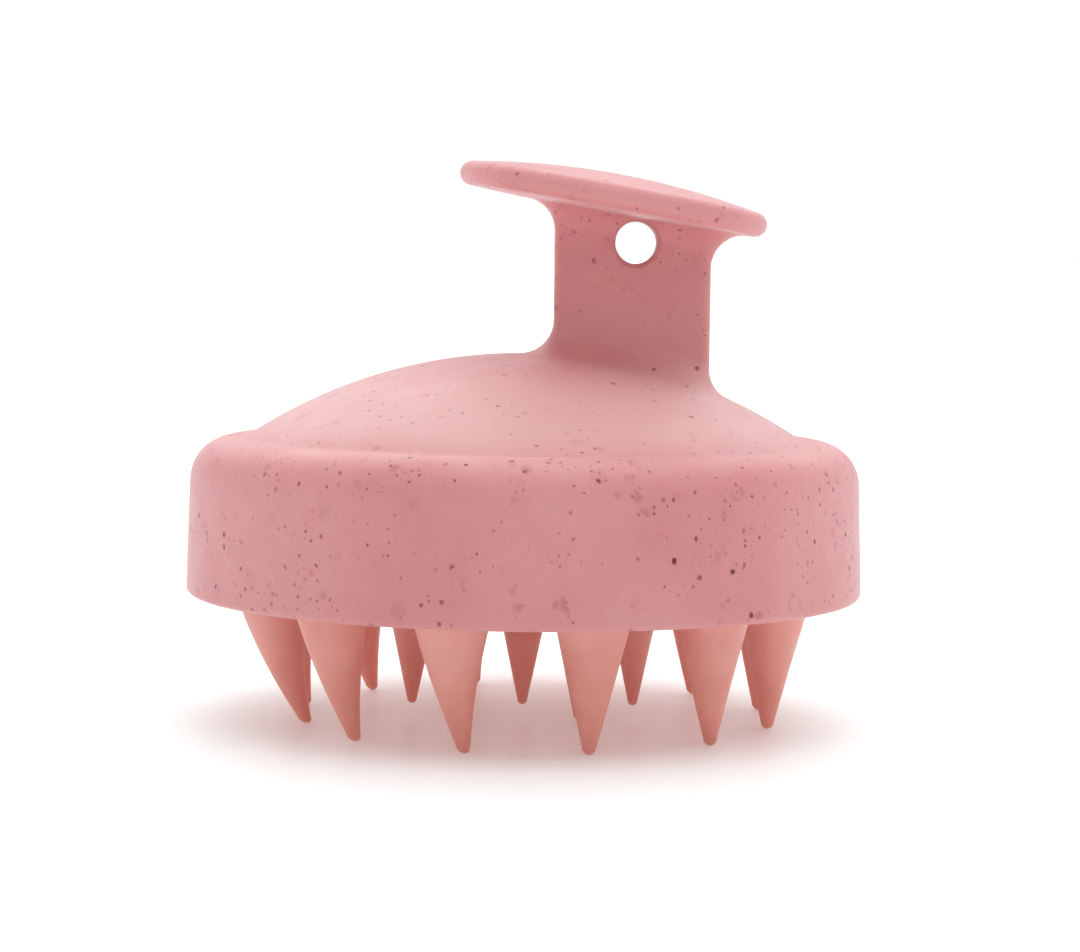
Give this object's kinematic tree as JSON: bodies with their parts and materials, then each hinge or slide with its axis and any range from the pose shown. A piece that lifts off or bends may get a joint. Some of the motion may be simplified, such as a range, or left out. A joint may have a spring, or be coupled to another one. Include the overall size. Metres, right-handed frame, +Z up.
{
  "type": "scalp massager brush",
  "caption": "Round hand-held scalp massager with a domed plastic shell, a tilted finger plate on a flat stem, and soft silicone bristles underneath.",
  "frame": {"origin": "middle of the shell, on the plane that the outer bristle tips stand on", "axes": "+Z up from the bristle tips to the finger plate, +X towards the plate's low side, +Y along the hanging hole"},
  "size_m": [0.08, 0.08, 0.066],
  "materials": {
    "shell_plastic": "speckled satin",
    "carrier_plastic": "matte",
    "silicone": "soft matte"
  },
  "bodies": {
    "massager": {"handle_shell": "shell_plastic", "bristle_carrier": "carrier_plastic", "bristle_pad": "silicone"},
    "bristle_centre": {"bristle_centre": "silicone"},
    "bristle_inner_1": {"bristle_inner_1": "silicone"},
    "bristle_inner_2": {"bristle_inner_2": "silicone"},
    "bristle_inner_3": {"bristle_inner_3": "silicone"},
    "bristle_inner_4": {"bristle_inner_4": "silicone"},
    "bristle_inner_5": {"bristle_inner_5": "silicone"},
    "bristle_inner_6": {"bristle_inner_6": "silicone"},
    "bristle_outer_01": {"bristle_outer_01": "silicone"},
    "bristle_outer_02": {"bristle_outer_02": "silicone"},
    "bristle_outer_03": {"bristle_outer_03": "silicone"},
    "bristle_outer_04": {"bristle_outer_04": "silicone"},
    "bristle_outer_05": {"bristle_outer_05": "silicone"},
    "bristle_outer_06": {"bristle_outer_06": "silicone"},
    "bristle_outer_07": {"bristle_outer_07": "silicone"},
    "bristle_outer_08": {"bristle_outer_08": "silicone"},
    "bristle_outer_09": {"bristle_outer_09": "silicone"},
    "bristle_outer_10": {"bristle_outer_10": "silicone"},
    "bristle_outer_11": {"bristle_outer_11": "silicone"},
    "bristle_outer_12": {"bristle_outer_12": "silicone"}
  },
  "joints": [
    {"name": "bristle_centre_bend", "type": "hinge", "parent": "massager", "child": "bristle_centre", "pos_m": [0, 0, 0.0128], "axis": [0, -1, 0], "range_deg": [-15, 15], "stiffness_Nm_per_rad": 0.04},
    {"name": "bristle_inner_1_bend", "type": "hinge", "parent": "massager", "child": "bristle_inner_1", "pos_m": [0.0132, 0, 0.0128], "axis": [0, -1, 0], "range_deg": [-15, 15], "stiffness_Nm_per_rad": 0.04},
    {"name": "bristle_inner_2_bend", "type": "hinge", "parent": "massager", "child": "bristle_inner_2", "pos_m": [0.0066, 0.01143, 0.0128], "axis": [0.866, -0.5, 0], "range_deg": [-15, 15], "stiffness_Nm_per_rad": 0.04},
    {"name": "bristle_inner_3_bend", "type": "hinge", "parent": "massager", "child": "bristle_inner_3", "pos_m": [-0.0066, 0.01143, 0.0128], "axis": [0.866, 0.5, 0], "range_deg": [-15, 15], "stiffness_Nm_per_rad": 0.04},
    {"name": "bristle_inner_4_bend", "type": "hinge", "parent": "massager", "child": "bristle_inner_4", "pos_m": [-0.0132, 0, 0.0128], "axis": [0, 1, 0], "range_deg": [-15, 15], "stiffness_Nm_per_rad": 0.04},
    {"name": "bristle_inner_5_bend", "type": "hinge", "parent": "massager", "child": "bristle_inner_5", "pos_m": [-0.0066, -0.01143, 0.0128], "axis": [-0.866, 0.5, 0], "range_deg": [-15, 15], "stiffness_Nm_per_rad": 0.04},
    {"name": "bristle_inner_6_bend", "type": "hinge", "parent": "massager", "child": "bristle_inner_6", "pos_m": [0.0066, -0.01143, 0.0128], "axis": [-0.866, -0.5, 0], "range_deg": [-15, 15], "stiffness_Nm_per_rad": 0.04},
    {"name": "bristle_outer_01_bend", "type": "hinge", "parent": "massager", "child": "bristle_outer_01", "pos_m": [0.02878, 0.00771, 0.0128], "axis": [0.2588, -0.9659, 0], "range_deg": [-15, 15], "stiffness_Nm_per_rad": 0.04},
    {"name": "bristle_outer_02_bend", "type": "hinge", "parent": "massager", "child": "bristle_outer_02", "pos_m": [0.02107, 0.02107, 0.0128], "axis": [0.7071, -0.7071, 0], "range_deg": [-15, 15], "stiffness_Nm_per_rad": 0.04},
    {"name": "bristle_outer_03_bend", "type": "hinge", "parent": "massager", "child": "bristle_outer_03", "pos_m": [0.00771, 0.02878, 0.0128], "axis": [0.9659, -0.2588, 0], "range_deg": [-15, 15], "stiffness_Nm_per_rad": 0.04},
    {"name": "bristle_outer_04_bend", "type": "hinge", "parent": "massager", "child": "bristle_outer_04", "pos_m": [-0.00771, 0.02878, 0.0128], "axis": [0.9659, 0.2588, 0], "range_deg": [-15, 15], "stiffness_Nm_per_rad": 0.04},
    {"name": "bristle_outer_05_bend", "type": "hinge", "parent": "massager", "child": "bristle_outer_05", "pos_m": [-0.02107, 0.02107, 0.0128], "axis": [0.7071, 0.7071, 0], "range_deg": [-15, 15], "stiffness_Nm_per_rad": 0.04},
    {"name": "bristle_outer_06_bend", "type": "hinge", "parent": "massager", "child": "bristle_outer_06", "pos_m": [-0.02878, 0.00771, 0.0128], "axis": [0.2588, 0.9659, 0], "range_deg": [-15, 15], "stiffness_Nm_per_rad": 0.04},
    {"name": "bristle_outer_07_bend", "type": "hinge", "parent": "massager", "child": "bristle_outer_07", "pos_m": [-0.02878, -0.00771, 0.0128], "axis": [-0.2588, 0.9659, 0], "range_deg": [-15, 15], "stiffness_Nm_per_rad": 0.04},
    {"name": "bristle_outer_08_bend", "type": "hinge", "parent": "massager", "child": "bristle_outer_08", "pos_m": [-0.02107, -0.02107, 0.0128], "axis": [-0.7071, 0.7071, 0], "range_deg": [-15, 15], "stiffness_Nm_per_rad": 0.04},
    {"name": "bristle_outer_09_bend", "type": "hinge", "parent": "massager", "child": "bristle_outer_09", "pos_m": [-0.00771, -0.02878, 0.0128], "axis": [-0.9659, 0.2588, 0], "range_deg": [-15, 15], "stiffness_Nm_per_rad": 0.04},
    {"name": "bristle_outer_10_bend", "type": "hinge", "parent": "massager", "child": "bristle_outer_10", "pos_m": [0.00771, -0.02878, 0.0128], "axis": [-0.9659, -0.2588, 0], "range_deg": [-15, 15], "stiffness_Nm_per_rad": 0.04},
    {"name": "bristle_outer_11_bend", "type": "hinge", "parent": "massager", "child": "bristle_outer_11", "pos_m": [0.02107, -0.02107, 0.0128], "axis": [-0.7071, -0.7071, 0], "range_deg": [-15, 15], "stiffness_Nm_per_rad": 0.04},
    {"name": "bristle_outer_12_bend", "type": "hinge", "parent": "massager", "child": "bristle_outer_12", "pos_m": [0.02878, -0.00771, 0.0128], "axis": [-0.2588, -0.9659, 0], "range_deg": [-15, 15], "stiffness_Nm_per_rad": 0.04}
  ]
}
